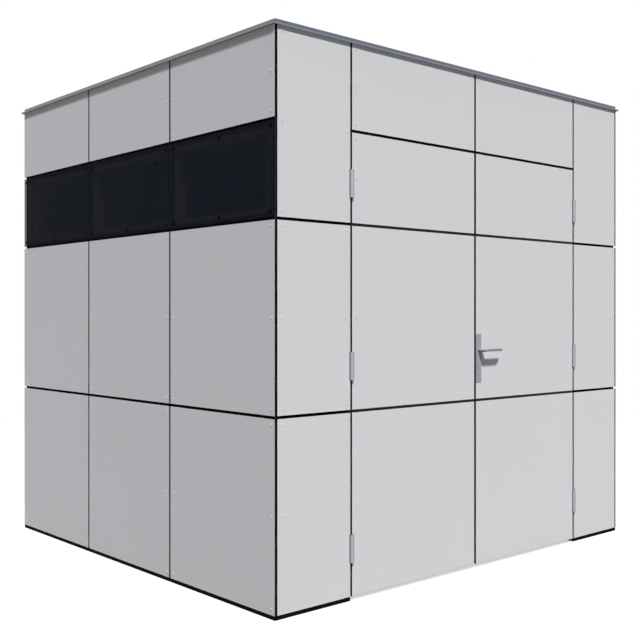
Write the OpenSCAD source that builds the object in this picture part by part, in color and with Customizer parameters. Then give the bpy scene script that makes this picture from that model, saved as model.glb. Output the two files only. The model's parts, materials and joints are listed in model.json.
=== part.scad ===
// Flat-roofed garden shed: a timber frame clad in large laminate panels with open joints, a row
// of dark window panes on the left wall, and a pair of doors on the front.
// The front looks along -Y and the left wall along -X. Ground level is Z = 0, and the origin is
// the middle of the square plan. All lengths are in millimetres.

/* [Plan] */
// Spacing of the joints along the walls, and the width of one door leaf
grid = 800; // [700:10:900]
// Whole panels along each wall
bays = 3; // [3:1:4]

/* [Heights] */
// Top of the base bars and bottom of the lowest panels
base_h = 18; // [16:1:30]
// Middle of the lower joint
low_joint = 812; // [760:4:860]
// Middle of the joint under the window panes
mid_joint = 1612; // [1560:4:1660]
// Middle of the joint over the window panes and the doors
high_joint = 2012; // [1980:4:2040]
// Top of the coping
top_z = 2410; // [2400:5:2450]

/* [Cladding] */
// Thickness of a panel
panel_t = 8; // [6:1:10]
// Height of the open joints between the rows
row_gap = 11; // [8:1:14]
// Width of the open joints between the columns
column_gap = 10; // [8:1:12]
// Gap between a side wall's panel edge and the front or back panels
corner_gap = 4; // [3:1:6]
// Thickness of the black tape behind the joints
tape_t = 2; // [1:0.5:3]
// Width of the tape on studs and jambs
tape_w = 60; // [40:2:60]
// Height of the tape on rails
tape_h = 44; // [30:2:60]

/* [Base and frame] */
// How far the base bars lie behind the face of the cladding
base_recess = 1; // [0:0.5:6]
// Depth of the frame behind the cladding
frame_d = 60; // [50:5:80]
// Side of the square corner posts
post_w = 70; // [60:5:80]
// Width of studs and door jambs
stud_w = 60; // [60:5:80]
// Height of the rails behind the joints
rail_h = 96; // [80:4:120]
// Height of the beam over the doors
head_h = 120; // [80:5:140]

/* [Roof] */
// Lower edge of the roof beams and joists
beam_z = 2240; // [2200:5:2260]
// Width of a joist
joist_w = 60; // [45:5:80]
// Height of the roof tray's front edge below the top of the coping
tray_drop = 34; // [32:2:60]
// Fall of the roof from front to back
fall = 30; // [0:5:40]
// Thickness of the roof deck
deck_t = 18; // [15:1:25]
// Thickness of the roof membrane
membrane_t = 3; // [2:1:5]
// Width of the roof outlet
outlet_w = 120; // [80:10:160]
// Height of the roof outlet
outlet_h = 28; // [20:2:30]
// How far the outlet stands out from the back wall
outlet_out = 40; // [20:5:60]

/* [Coping] */
// Width of the coping's top
coping_w = 80; // [76:2:120]
// Height of the coping's upright face above its lip
coping_h = 17; // [14:1:24]
// Height of the coping's inner leg
leg_h = 24; // [10:1:28]
// How far the drip lip stands out
lip_out = 13; // [6:1:16]
// How far the drip lip slopes down
lip_drop = 1; // [0:1:4]
// Height of the hem at the edge of the lip
hem_h = 7; // [4:0.5:9]
// Thickness of the folded metal
metal_t = 2; // [1:0.5:3]

/* [Doors] */
// Gap between the leaves
meeting_gap = 12; // [12:1:14]
// Gap between a leaf's panels and the wall's panels at the hinges
hinge_gap = 9; // [9:1:12]
// Bottom of the leaves' panels
leaf_z = 17; // [15:1:40]
// Depth of a leaf's frame
leaf_d = 38; // [30:2:40]
// Width of a leaf's stiles
stile_w = 40; // [40:2:60]
// Height of a leaf's rails
leaf_rail_h = 60; // [40:5:80]
// Clearance round a leaf's frame at its top and back
leaf_clear = 6; // [5:1:8]

/* [Hinges] */
// Distance of the hinge pin in front of the wall
pin_out = 5; // [2:0.5:6]
// Outer radius of the hinge barrel
barrel_r = 10; // [8:0.5:10]
// Clearance round the barrel in the panels' notches
notch_clear = 1; // [0.5:0.5:2]
// Radius of the hinge pin
pin_r = 4.95; // [4.9:0.01:4.98]
// Height of the moving middle knuckle
knuckle_h = 66; // [50:2:90]
// Height of the fixed end knuckles
end_h = 26; // [20:1:30]

/* [Handle] */
// Distance of the lever's spindle from the middle of the doors
spindle_x = 25; // [24:1:30]
// Height of the lever
lever_z = 1054; // [950:2:1100]
// Length of the lever from the spindle to its tip
lever_l = 131; // [110:1:136]
// How far the lever's outer face stands out from the leaf
lever_out = 61; // [50:1:62]
// Depth of the lever's blade
blade_d = 22; // [19:1:26]
// Height of the lever's blade
blade_h = 11.5; // [8:0.5:14]
// Radius of the sweep from the blade's outer face to its tip
blade_r = 60; // [40:2:70]
// Width of the lever's neck along the blade
neck_w = 33; // [24:1:40]
// Distance from the spindle to the lever's heel
heel_l = 6; // [6:0.5:9]
// Length over which the neck thins towards the blade
taper_l = 6; // [6:1:14]
// Width of the handle plates
plate_w = 37; // [32:1:38]
// Height of the handle plates
plate_h = 236; // [200:2:260]
// Thickness of the handle plates
plate_t = 2; // [1.5:0.5:5]
// How far the lock cylinder stands out from the leaf
lock_out = 7; // [5.5:0.5:9]

/* [Hidden] */
$fn = 48;
half = bays * grid / 2;
edge = half - panel_t - corner_gap;
frame_in = panel_t + tape_t;
wall_t = frame_in + frame_d;
room = half - wall_t;
door_half = grid;
jamb_x = door_half - 1;
leaf_x = door_half - hinge_gap + 1;
pin_x = door_half - hinge_gap / 2;
leaf_back = panel_t + leaf_d;
stop_w = 20;
head_z = high_joint - row_gap / 2 + 1 + leaf_clear;
lip_z = top_z - coping_h;
cladding_top = lip_z - metal_t - 1;
tray_z = top_z - tray_drop;
joist_count = 3;
saw_gap = 1;
tape_from = 24;
bore_r = 5;
knuckle_gap = 0.5;
flag_t = 3;
flag_l = 40;
hinge_h = knuckle_h + 2 * (end_h + knuckle_gap);
hinge_inset = [207, 221];
notch_half = sqrt(pow(barrel_r, 2) - pow(pin_out, 2)) + notch_clear;
neck_r = 9;
bearing_r = 6;
bearing_clear = 0.05;
neck_gap = 2;
bend_x = lever_l - sqrt(pow(blade_r, 2) - pow(blade_r - blade_d, 2));
spindle_w = 8;
lock_z = lever_z - 84;
lock_r = 8.5;
plate_z = lever_z - 158;
drill_r = 10;
lock_face = [20, 236, 3];
BLACK = [0.07, 0.07, 0.075];
PANEL = [0.80, 0.81, 0.82];
TIMBER = [0.50, 0.36, 0.23];
METAL = [0.62, 0.64, 0.66];

FRONT = 0;
RIGHT = 1;
BACK = 2;
LEFT = 3;

// ---- Shared helpers ----

// A box on the front wall: u along the wall, z up, d inwards from the face of the cladding.
module slab(u, z, d)
    translate([u[0], d[0] - half, z[0]])
        cube([u[1] - u[0], d[1] - d[0], z[1] - z[0]]);

// Turns something built on the front wall to another wall.
module on_wall(side) rotate([0, 0, 90 * side]) children();

// A span of the given width round a middle.
function span(middle, width) = [middle - width / 2, middle + width / 2];

// The panel columns between two ends, split at every joint of the grid.
function joints() = [for (i = [1 : bays - 1]) i * grid - half];
function columns(end) = [
    for (i = [0 : bays - 1]) [
        i == 0 ? -end : i * grid - half + column_gap / 2,
        i == bays - 1 ? end : (i + 1) * grid - half - column_gap / 2
    ]
];

// The rows of panels between two levels, split at the given joints.
function rows(low, high, splits) = [
    for (i = [0 : len(splits)]) [
        i == 0 ? low : splits[i - 1] + row_gap / 2,
        i == len(splits) ? high : splits[i] - row_gap / 2
    ]
];
plain_rows = rows(base_h, cladding_top, [low_joint, mid_joint]);
window_rows = rows(base_h, cladding_top, [low_joint, mid_joint, high_joint]);
door_rows = rows(leaf_z, high_joint - row_gap / 2, [low_joint, mid_joint]);

// One row of panels along a wall.
module panel_row(row, end)
    for (column = columns(end)) slab(column, row, [0, panel_t]);

// The clear bays between posts and studs along a wall.
function clear_bays() = [
    for (i = [0 : bays - 1]) [
        i == 0 ? -half + frame_in + post_w : i * grid - half + stud_w / 2,
        i == bays - 1 ? half - frame_in - post_w : (i + 1) * grid - half - stud_w / 2
    ]
];

module rails(levels)
    for (z = levels)
        for (bay = clear_bays())
            slab(bay, span(z, rail_h), [frame_in, wall_t]);

module both_sides() {
    children();
    mirror([1, 0, 0]) children();
}

// ---- Base and timber frame ----

module base_bars() color(BLACK) {
    side_end = half - base_recess;
    cross_end = room - saw_gap;
    depth = [base_recess, wall_t];
    for (side = [LEFT, RIGHT]) on_wall(side) slab([-side_end, side_end], [0, base_h], depth);
    on_wall(BACK) slab([-cross_end, cross_end], [0, base_h], depth);
    both_sides() slab([jamb_x, cross_end], [0, base_h], depth);
}

module corner_posts() color(TIMBER)
    for (side = [FRONT, RIGHT, BACK, LEFT])
        on_wall(side)
            slab([frame_in - half, frame_in - half + post_w], [base_h, beam_z],
                 [frame_in, frame_in + post_w]);

module wall_studs() color(TIMBER)
    for (side = [RIGHT, BACK, LEFT])
        for (u = joints())
            on_wall(side) slab(span(u, stud_w), [base_h, beam_z], [frame_in, wall_t]);

module left_rails() color(TIMBER) on_wall(LEFT) rails([low_joint, mid_joint, high_joint]);

module right_rails() color(TIMBER) on_wall(RIGHT) rails([low_joint, mid_joint]);

module back_rails() color(TIMBER) on_wall(BACK) rails([low_joint, mid_joint]);

module front_rails() color(TIMBER)
    both_sides()
        for (z = [low_joint, mid_joint])
            slab([jamb_x + stud_w, half - frame_in - post_w], span(z, rail_h),
                 [frame_in, wall_t]);

module door_jambs() color(TIMBER)
    both_sides() slab([jamb_x, jamb_x + stud_w], [base_h, beam_z], [frame_in, wall_t]);

module door_head() color(TIMBER)
    slab([-jamb_x, jamb_x], [head_z, head_z + head_h], [frame_in, wall_t]);

// The strips that the leaves close against, on the jambs and under the head.
module door_stops() color(BLACK) {
    stop_d = [leaf_back + leaf_clear, wall_t];
    slab([-jamb_x, jamb_x], [head_z - stop_w, head_z], stop_d);
    both_sides() slab([jamb_x - stop_w, jamb_x], [base_h, head_z - stop_w - saw_gap], stop_d);
}

// ---- Roof ----

function tray_height(y) = tray_z - fall * (y + room) / (2 * room);

// A sheet or beam that follows the roof's fall, from a drop below the tray down to a level or
// by a thickness.
module falling(width, drop, thickness)
    rotate([90, 0, 90])
        translate([0, 0, -width / 2])
            linear_extrude(width)
                polygon([
                    [-room, tray_height(-room) - drop],
                    [room, tray_height(room) - drop],
                    [room, tray_height(room) - drop - thickness],
                    [-room, tray_height(-room) - drop - thickness]
                ]);

module outlet_hole()
    on_wall(BACK)
        slab(span(0, outlet_w), [tray_height(room) - metal_t, tray_height(room) - metal_t + outlet_h],
             [-1, wall_t + 1]);

module roof_beams() color(TIMBER) {
    side_end = half - frame_in;
    cross_end = room - saw_gap;
    height = [beam_z, top_z - metal_t];
    for (side = [LEFT, RIGHT])
        on_wall(side) slab([-side_end, side_end], height, [frame_in, wall_t]);
    slab([-cross_end, cross_end], height, [frame_in, wall_t]);
    difference() {
        on_wall(BACK) slab([-cross_end, cross_end], height, [frame_in, wall_t]);
        outlet_hole();
    }
}

module roof_joists() color(TIMBER) {
    drop = membrane_t + deck_t;
    for (i = [1 : joist_count])
        translate([i * 2 * room / (joist_count + 1) - room, 0, 0])
            rotate([90, 0, 90])
                translate([0, 0, -joist_w / 2])
                    linear_extrude(joist_w)
                        polygon([
                            [-room, beam_z],
                            [room, beam_z],
                            [room, tray_height(room) - drop],
                            [-room, tray_height(-room) - drop]
                        ]);
}

module roof_deck() color(TIMBER) falling(2 * room, membrane_t, deck_t);

module roof_membrane() color(BLACK) falling(2 * room, 0, membrane_t);

module roof_outlet() color(METAL) {
    floor_z = tray_height(room) - metal_t;
    on_wall(BACK)
        difference() {
            slab(span(0, outlet_w), [floor_z, floor_z + outlet_h], [-outlet_out, wall_t]);
            slab(span(0, outlet_w - 2 * metal_t), [floor_z + metal_t, floor_z + outlet_h - metal_t],
                 [-outlet_out - 1, wall_t + 1]);
        }
}

// A length of folded coping, mitred at both ends. Its section runs from the hem of the drip lip
// up the face, over the top and down the inner leg.
module coping() color(METAL) {
    reach = half + lip_out;
    intersection() {
        rotate([90, 0, 90])
            translate([-half, 0, -reach])
                linear_extrude(2 * reach)
                    polygon([
                        [-lip_out, lip_z - lip_drop - hem_h],
                        [-lip_out, lip_z - lip_drop],
                        [0, lip_z],
                        [0, top_z],
                        [coping_w, top_z],
                        [coping_w, top_z - leg_h],
                        [coping_w - metal_t, top_z - leg_h],
                        [coping_w - metal_t, top_z - metal_t],
                        [metal_t, top_z - metal_t],
                        [metal_t, lip_z - metal_t],
                        [metal_t - lip_out, lip_z - lip_drop - metal_t],
                        [metal_t - lip_out, lip_z - lip_drop - hem_h]
                    ]);
        translate([0, 0, top_z - 2 * leg_h])
            linear_extrude(3 * leg_h)
                polygon([[saw_gap - reach, -reach], [reach - saw_gap, -reach], [0, -saw_gap]]);
    }
}

module coping_front() on_wall(FRONT) coping();

module coping_right() on_wall(RIGHT) coping();

module coping_back() on_wall(BACK) coping();

module coping_left() on_wall(LEFT) coping();

// ---- Cladding ----

// The black tape on the frame behind the joints of a whole wall.
module wall_tape(levels) {
    depth = [panel_t, frame_in];
    end = half - frame_in - tape_t;
    for (z = levels) slab([-end, end], span(z, tape_h), depth);
    for (u = joints()) slab(span(u, tape_w), [base_h, cladding_top], depth);
    both_sides() slab([half - tape_from, end], [base_h, cladding_top], depth);
}

// The tape of the front wall, which stops at the jambs and runs along the head.
module front_tape() {
    depth = [panel_t, frame_in];
    end = half - frame_in - tape_t;
    both_sides() {
        for (z = [low_joint, mid_joint]) slab([jamb_x, end], span(z, tape_h), depth);
        slab([jamb_x, jamb_x + tape_w / 2], [base_h, cladding_top], depth);
        slab([half - tape_from, end], [base_h, cladding_top], depth);
        slab([door_half - hinge_gap - tape_w / 2, jamb_x], [head_z, cladding_top], depth);
    }
    slab([-jamb_x, jamb_x], [head_z, high_joint + tape_h / 2], depth);
    slab(span(0, tape_w), [head_z, cladding_top], depth);
}

module joint_tape() color(BLACK) {
    on_wall(LEFT) wall_tape([low_joint, mid_joint, high_joint]);
    on_wall(RIGHT) wall_tape([low_joint, mid_joint]);
    difference() {
        on_wall(BACK) wall_tape([low_joint, mid_joint]);
        outlet_hole();
    }
    front_tape();
}

module left_low_panels() color(PANEL) on_wall(LEFT) panel_row(window_rows[0], half);

module left_middle_panels() color(PANEL) on_wall(LEFT) panel_row(window_rows[1], half);

module left_window_panes() color([0.12, 0.13, 0.16, 0.8])
    on_wall(LEFT) panel_row(window_rows[2], half);

module left_top_panels() color(PANEL) on_wall(LEFT) panel_row(window_rows[3], half);

module right_panels() color(PANEL)
    on_wall(RIGHT) for (row = plain_rows) panel_row(row, half);

module back_panels() color(PANEL)
    difference() {
        on_wall(BACK) for (row = plain_rows) panel_row(row, edge);
        outlet_hole();
    }

module side_panels() color(PANEL)
    difference() {
        for (row = plain_rows) slab([door_half, edge], row, [0, panel_t]);
        hinge_notches();
    }

module front_left_panels() mirror([1, 0, 0]) side_panels();

module front_right_panels() side_panels();

module over_door_panels() color(PANEL)
    both_sides()
        slab([column_gap / 2, door_half - hinge_gap],
             [high_joint + row_gap / 2, cladding_top], [0, panel_t]);

// ---- Door leaves: built as the right leaf, and mirrored for the left one ----

module leaf_stiles() color(BLACK) {
    height = [leaf_z + 2, high_joint - row_gap / 2 + 1];
    inner = meeting_gap / 2 - 1;
    slab([inner, inner + stile_w], height, [panel_t, leaf_back]);
    slab([leaf_x - stile_w, leaf_x], height, [panel_t, leaf_back]);
}

module leaf_rails() color(BLACK) {
    inner = meeting_gap / 2 - 1 + stile_w;
    low = leaf_z + 2 + leaf_rail_h / 2;
    high = high_joint - row_gap / 2 + 1 - leaf_rail_h / 2;
    for (z = [low, low_joint, mid_joint, high])
        slab([inner, leaf_x - stile_w], span(z, leaf_rail_h), [panel_t, leaf_back]);
}

module leaf_panels() color(PANEL)
    difference() {
        for (row = door_rows)
            slab([meeting_gap / 2, door_half - hinge_gap], row, [0, panel_t]);
        hinge_notches();
    }

module left_door_stiles() mirror([1, 0, 0]) leaf_stiles();

module left_door_rails() mirror([1, 0, 0]) leaf_rails();

module left_door_panels() mirror([1, 0, 0]) leaf_panels();

// The holes for the lever's spindle and the lock cylinder.
module lock_holes() {
    along_y(spindle_x, lever_z, drill_r, -1, leaf_back + 1);
    along_y(spindle_x, lock_z, drill_r, -1, leaf_back + 1);
}

module right_door_stiles()
    difference() {
        leaf_stiles();
        lock_holes();
    }

module right_door_rails() leaf_rails();

module right_door_panels()
    difference() {
        leaf_panels();
        lock_holes();
    }

// ---- Hinges: three to a leaf, built on the right and mirrored for the left ----

low_hinge = leaf_z + hinge_inset[0];
high_hinge = high_joint - row_gap / 2 - hinge_inset[1];
hinge_levels = [low_hinge, (low_hinge + high_hinge) / 2, high_hinge];

module at_hinges()
    for (z = hinge_levels)
        translate([pin_x, -half - pin_out, z]) children();

// Room for the barrels in the edges of the panels beside them.
module hinge_notches() {
    notch_h = hinge_h + 2 * notch_clear;
    for (z = hinge_levels)
        slab(span(pin_x, 2 * notch_half), span(z, notch_h), [-1, panel_t + 1]);
}

// The fixed half of a hinge: the pin, and an end knuckle and a flag above and below.
module hinge_pin() {
    translate([0, 0, -hinge_h / 2]) cylinder(r = pin_r, h = hinge_h);
    for (end = [-1, 1])
        translate([0, 0, end * (hinge_h - end_h) / 2]) {
            cylinder(r = barrel_r, h = end_h, center = true);
            translate([jamb_x - pin_x - flag_t, 0, -end_h / 2])
                cube([flag_t, flag_l, end_h]);
        }
}

// The moving half: the middle knuckle, bored for the pin, and its flag.
module hinge_knuckle()
    difference() {
        union() {
            cylinder(r = barrel_r, h = knuckle_h, center = true);
            translate([leaf_x - pin_x, 0, -knuckle_h / 2]) cube([flag_t, flag_l, knuckle_h]);
        }
        cylinder(r = bore_r, h = knuckle_h + 2, center = true);
    }

module left_hinge_pins() color(METAL) mirror([1, 0, 0]) at_hinges() hinge_pin();

module right_hinge_pins() color(METAL) at_hinges() hinge_pin();

module left_hinge_knuckles() color(METAL) mirror([1, 0, 0]) at_hinges() hinge_knuckle();

module right_hinge_knuckles() color(METAL) at_hinges() hinge_knuckle();

// ---- Lock and handle ----

// A cylinder through the leaf at x and z, from one depth to another.
module along_y(x, z, r, from, to)
    translate([x, from - half, z]) rotate([-90, 0, 0]) cylinder(r = r, h = to - from);

// A thin plate on the meeting edge of a leaf, at the height of the lock.
module edge_plate()
    slab([meeting_gap / 2 - 1 - lock_face[2], meeting_gap / 2 - 1],
         [plate_z, plate_z + lock_face[1]], span(panel_t + leaf_d / 2, lock_face[0]));

module strike_plate() color(METAL) mirror([1, 0, 0]) edge_plate();

module lock_face_plate() color(METAL) edge_plate();

module lock_cylinder() color(METAL)
    along_y(spindle_x, lock_z, lock_r, -lock_out, leaf_back + lock_out);

// Mirrors something on the outside of a leaf to its inside.
module inside_out()
    translate([0, leaf_back - 2 * half, 0]) mirror([0, 1, 0]) children();

// A long plate lying on the outside of the leaf.
module long_plate()
    slab(span(spindle_x, plate_w), [plate_z, plate_z + plate_h], [-plate_t, 0]);

module handle_plates() color(METAL)
    difference() {
        union() {
            long_plate();
            inside_out() long_plate();
        }
        along_y(spindle_x, lever_z, bearing_r + bearing_clear, -plate_t - 1, leaf_back + plate_t + 1);
        along_y(spindle_x, lock_z, lock_r + bearing_clear, -plate_t - 1, leaf_back + plate_t + 1);
    }

// The lever's neck: a flat oval in front of the plate that thins to the height of the blade.
module neck() {
    root = -plate_t - neck_gap;
    inner = blade_d - lever_out;
    middle = blade_d / 2 - lever_out;
    near_x = spindle_x - heel_l + neck_r;
    far_x = spindle_x - heel_l + neck_w - neck_r;
    intersection() {
        union() {
            along_y(near_x, lever_z, neck_r, middle, root);
            along_y(far_x, lever_z, neck_r, middle, root);
            slab([near_x, far_x], span(lever_z, 2 * neck_r), [middle, root]);
        }
        translate([spindle_x - heel_l, -half, lever_z])
            rotate([90, 0, 90])
                linear_extrude(neck_w)
                    polygon([
                        [middle, -blade_h / 2],
                        [inner, -blade_h / 2],
                        [inner + taper_l, -neck_r],
                        [root, -neck_r],
                        [root, neck_r],
                        [inner + taper_l, neck_r],
                        [inner, blade_h / 2],
                        [middle, blade_h / 2]
                    ]);
    }
}

// A lever on the outside of the leaf: a round bearing in the plate, the neck in front of it,
// and a flat blade whose outer face sweeps in to the tip.
module lever() {
    along_y(spindle_x, lever_z, bearing_r, -plate_t - neck_gap - 1, -1);
    neck();
    translate([spindle_x, -half - lever_out, lever_z - blade_h / 2])
        linear_extrude(blade_h)
            intersection() {
                translate([-heel_l, 0]) square([heel_l + lever_l, blade_d]);
                union() {
                    translate([-heel_l, 0]) square([heel_l + bend_x, blade_d]);
                    translate([bend_x, blade_r]) circle(blade_r);
                }
            }
}

module lever_outside() color(METAL) lever();

module lever_inside() color(METAL) {
    inside_out() lever();
    slab(span(spindle_x, spindle_w), span(lever_z, spindle_w), [-1, leaf_back + 2]);
}

// ---- Drawing ----

base_bars();
corner_posts();
wall_studs();
left_rails();
right_rails();
back_rails();
front_rails();
door_jambs();
door_head();
door_stops();
roof_beams();
roof_joists();
roof_deck();
roof_membrane();
roof_outlet();
coping_front();
coping_right();
coping_back();
coping_left();
joint_tape();
left_low_panels();
left_middle_panels();
left_window_panes();
left_top_panels();
right_panels();
back_panels();
front_left_panels();
front_right_panels();
over_door_panels();
left_hinge_pins();
right_hinge_pins();
left_door_stiles();
left_door_rails();
left_door_panels();
left_hinge_knuckles();
strike_plate();
right_door_stiles();
right_door_rails();
right_door_panels();
right_hinge_knuckles();
lock_face_plate();
lock_cylinder();
handle_plates();
lever_outside();
lever_inside();
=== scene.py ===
# %% [markdown]
# # A garden shed clad in grey laminate
# A small cube of a building with a flat roof. A timber frame carries large light grey panels with
# open black joints between them, a row of dark panes runs along the left wall under its top
# panels, and two flush doors take the middle of the front.
# The solids of the shed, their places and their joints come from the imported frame. This lesson
# finishes them: it eases their edges, adds the small fittings, gives everything a material and
# sets the light and the camera. All lengths are in metres.

# %% Load the frame
import json
import math

import bpy
from mathutils import Matrix, Vector


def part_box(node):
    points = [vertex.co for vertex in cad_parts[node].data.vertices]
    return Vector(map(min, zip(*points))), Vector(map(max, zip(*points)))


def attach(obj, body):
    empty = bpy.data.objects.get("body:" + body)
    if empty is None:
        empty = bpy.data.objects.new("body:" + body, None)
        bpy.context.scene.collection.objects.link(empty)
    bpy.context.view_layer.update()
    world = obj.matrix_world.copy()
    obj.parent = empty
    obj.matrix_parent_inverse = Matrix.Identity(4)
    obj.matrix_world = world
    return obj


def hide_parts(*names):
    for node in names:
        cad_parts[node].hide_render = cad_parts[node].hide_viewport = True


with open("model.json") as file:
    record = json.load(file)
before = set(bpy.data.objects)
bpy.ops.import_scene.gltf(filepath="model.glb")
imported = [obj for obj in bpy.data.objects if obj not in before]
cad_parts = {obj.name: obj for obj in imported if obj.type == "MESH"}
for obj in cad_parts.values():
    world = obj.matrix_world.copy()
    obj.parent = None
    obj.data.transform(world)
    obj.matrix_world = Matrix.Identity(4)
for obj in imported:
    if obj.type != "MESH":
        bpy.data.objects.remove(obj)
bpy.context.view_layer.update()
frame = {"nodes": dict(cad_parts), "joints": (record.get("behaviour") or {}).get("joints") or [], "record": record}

# %% [markdown]
# ## The camera
# The shed is seen from four metres off its near left corner, by a camera that is held at chest
# height. The view is level, so all upright edges stay upright. The lens is shifted a little to
# the left, which frames the shed without turning the view and so keeps the slopes of its joints.
# The camera could also be aimed with a constraint, but a plain place and turn are easier to read.

# %% Set the camera
half_wall = 1.2
near_corner = Vector((-half_wall, -half_wall, 0.0))
corner_to_eye = Vector((-2.349, -3.152, 1.2193))
turn_right = 0.762
camera_data = bpy.data.cameras.new("camera")
camera_data.lens = 54.96
camera_data.sensor_width = 36.0
camera_data.shift_x = -0.1159
camera_data.shift_y = -0.0062
camera = bpy.data.objects.new("camera", camera_data)
camera.location = near_corner + corner_to_eye
camera.rotation_euler = (math.pi / 2, 0.0, -turn_right)
bpy.context.collection.objects.link(camera)
bpy.context.scene.camera = camera
bpy.context.scene.view_settings.view_transform = "Standard"
print("the eye is", round(corner_to_eye.length, 2), "m from the foot of the near corner")

# %% [markdown]
# ## Nodes in a line of code
# Every material below is a small graph of shader nodes. It could be drawn in the shader editor,
# but in code it can be read and repeated. One helper adds a node, sets or links its inputs by name
# and gives it back, so a graph reads from top to bottom like a recipe. An input that is given a
# socket is linked to it, and any other value is set on the socket itself.


# %% A helper for shader nodes
def node(tree, kind, inputs=None, **settings):
    made = tree.nodes.new("ShaderNode" + kind)
    for name, value in settings.items():
        setattr(made, name, value)
    for socket, value in (inputs or {}).items():
        if isinstance(value, bpy.types.NodeSocket):
            tree.links.new(value, made.inputs[socket])
        else:
            made.inputs[socket].default_value = value
    return made


def calculate(tree, operation, first, second):
    return node(tree, "Math", {0: first, 1: second}, operation=operation).outputs[0]


def ramp(tree, factor, low, high, start=0.0, end=1.0):
    """A value that runs from start to end while the factor runs from low to high."""
    inputs = {"Value": factor, "From Min": low, "From Max": high, "To Min": start, "To Max": end}
    return node(tree, "MapRange", inputs).outputs["Result"]


def blend_colours(tree, factor, first, second):
    made = node(tree, "Mix", data_type="RGBA")
    for socket, value in ((0, factor), (6, first), (7, second)):
        if isinstance(value, bpy.types.NodeSocket):
            tree.links.new(value, made.inputs[socket])
        else:
            made.inputs[socket].default_value = value
    return made.outputs[2]


def stretched_place(tree, stretch=(1.0, 1.0, 1.0)):
    """Object coordinates, multiplied by a vector that stretches what is read from them."""
    place = node(tree, "TexCoord").outputs["Object"]
    return node(tree, "VectorMath", {0: place, 1: stretch}, operation="MULTIPLY").outputs[0]


def noise(tree, place, scale, detail=3.0, rough=0.55):
    inputs = {"Vector": place, "Scale": scale, "Detail": detail, "Roughness": rough}
    return node(tree, "TexNoise", inputs).outputs["Fac"]


# %% [markdown]
# ## Shared effects as node groups
# An effect that several materials use is a node group: a graph with named inputs and outputs that
# is built once. A group could also hold a whole shader, but here it only puts out colours and
# values, and each material keeps its own shader. The helper makes the sockets and gives back the
# graph with the two ends to build between.


# %% A helper for node groups
def group(name, inputs, outputs):
    tree = bpy.data.node_groups.new(name, "ShaderNodeTree")
    for direction, sockets in (("INPUT", inputs), ("OUTPUT", outputs)):
        for socket, (kind, value) in sockets.items():
            made = tree.interface.new_socket(
                socket, in_out=direction, socket_type="NodeSocket" + kind
            )
            if value is not None:
                made.default_value = value
    given = tree.nodes.new("NodeGroupInput").outputs
    return tree, given, tree.nodes.new("NodeGroupOutput")


def finish_group(tree, end, **results):
    for socket, value in results.items():
        tree.links.new(value, end.inputs[socket])
    print("node group:", tree.name, "with", len(tree.nodes), "nodes")


# %% [markdown]
# ### Even surface
# Laminate, tape, coated metal and rubber are all one colour at a glance, but none is perfectly
# even. Close up they have a fine grain, and over a metre their tone drifts a little. An image of
# a real surface could give this, but noise at two scales does it without any image and never
# repeats. Dust also settles low on a wall, where rain splashes it up from the ground.

# %% The group for even surfaces
even, given, end = group(
    "even surface",
    {
        "Colour": ("Color", (0.5, 0.5, 0.5, 1.0)),
        "Dust": ("Color", (0.45, 0.41, 0.36, 1.0)),
        "Drift": ("Float", 0.02),
        "Grain": ("Float", 0.02),
        "Grain scale": ("Float", 900.0),
        "Splash": ("Float", 0.0),
        "Smoothest": ("Float", 0.4),
        "Roughest": ("Float", 0.5),
    },
    {"Colour": ("Color", None), "Roughness": ("Float", None), "Height": ("Float", None)},
)
drift_scale, speck_scale, splash_height = 1.3, 38.0, 0.32
place = stretched_place(even)
slow = noise(even, place, drift_scale)
fine = noise(even, place, given["Grain scale"], detail=2.0, rough=0.6)
slow_part = calculate(even, "MULTIPLY", calculate(even, "SUBTRACT", slow, 0.5), given["Drift"])
fine_part = calculate(even, "MULTIPLY", calculate(even, "SUBTRACT", fine, 0.5), given["Grain"])
shade = calculate(even, "ADD", calculate(even, "ADD", slow_part, fine_part), 1.0)
toned = node(even, "VectorMath", {0: given["Colour"], "Scale": shade}, operation="SCALE")
height = node(even, "SeparateXYZ", {0: place}).outputs["Z"]
specks = noise(even, place, speck_scale, detail=5.0, rough=0.7)
speckled = ramp(even, specks, low=0.42, high=0.66)
low_down = calculate(even, "MULTIPLY", ramp(even, height, splash_height, 0.0), speckled)
splashed = calculate(even, "MULTIPLY", low_down, given["Splash"])
finish_group(
    even,
    end,
    Colour=blend_colours(even, splashed, toned.outputs[0], given["Dust"]),
    Roughness=ramp(even, slow, 0.3, 0.7, given["Smoothest"], given["Roughest"]),
    Height=fine,
)

# %% [markdown]
# ### Wood
# Planed wood shows year rings as long bands with finer fibres between them, and now and then a
# knot. Bands could come from a wave texture, but cutting one soft noise into many levels gives
# rings that open and close as real ones do. All is stretched along the member by a vector, so
# one group serves upright posts and rails that lie along either wall.

# %% The group for wood
wood, given, end = group(
    "planed wood",
    {
        "Stretch": ("Vector", (1.0, 1.0, 1.0)),
        "Light": ("Color", (0.6, 0.45, 0.3, 1.0)),
        "Dark": ("Color", (0.4, 0.25, 0.14, 1.0)),
        "Knot": ("Color", (0.2, 0.11, 0.06, 1.0)),
    },
    {"Colour": ("Color", None), "Roughness": ("Float", None), "Height": ("Float", None)},
)
ring_scale, ring_levels, ring_contrast = 9.0, 14.0, 2.2
fibre_scale, fibre_strength = 260.0, 0.35
knot_scale, knot_rim, knot_core = 5.0, 0.13, 0.07
place = stretched_place(wood, given["Stretch"])
soft = noise(wood, place, ring_scale, detail=2.0, rough=0.45)
rings = calculate(wood, "PINGPONG", calculate(wood, "MULTIPLY", soft, ring_levels), 1.0)
bands = calculate(wood, "POWER", rings, ring_contrast)
fibres = noise(wood, place, fibre_scale, detail=4.0, rough=0.65)
lines = ramp(wood, fibres, low=0.45, high=0.8, end=fibre_strength)
banded = blend_colours(wood, bands, given["Light"], given["Dark"])
fibred = blend_colours(wood, lines, banded, given["Dark"])
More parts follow.
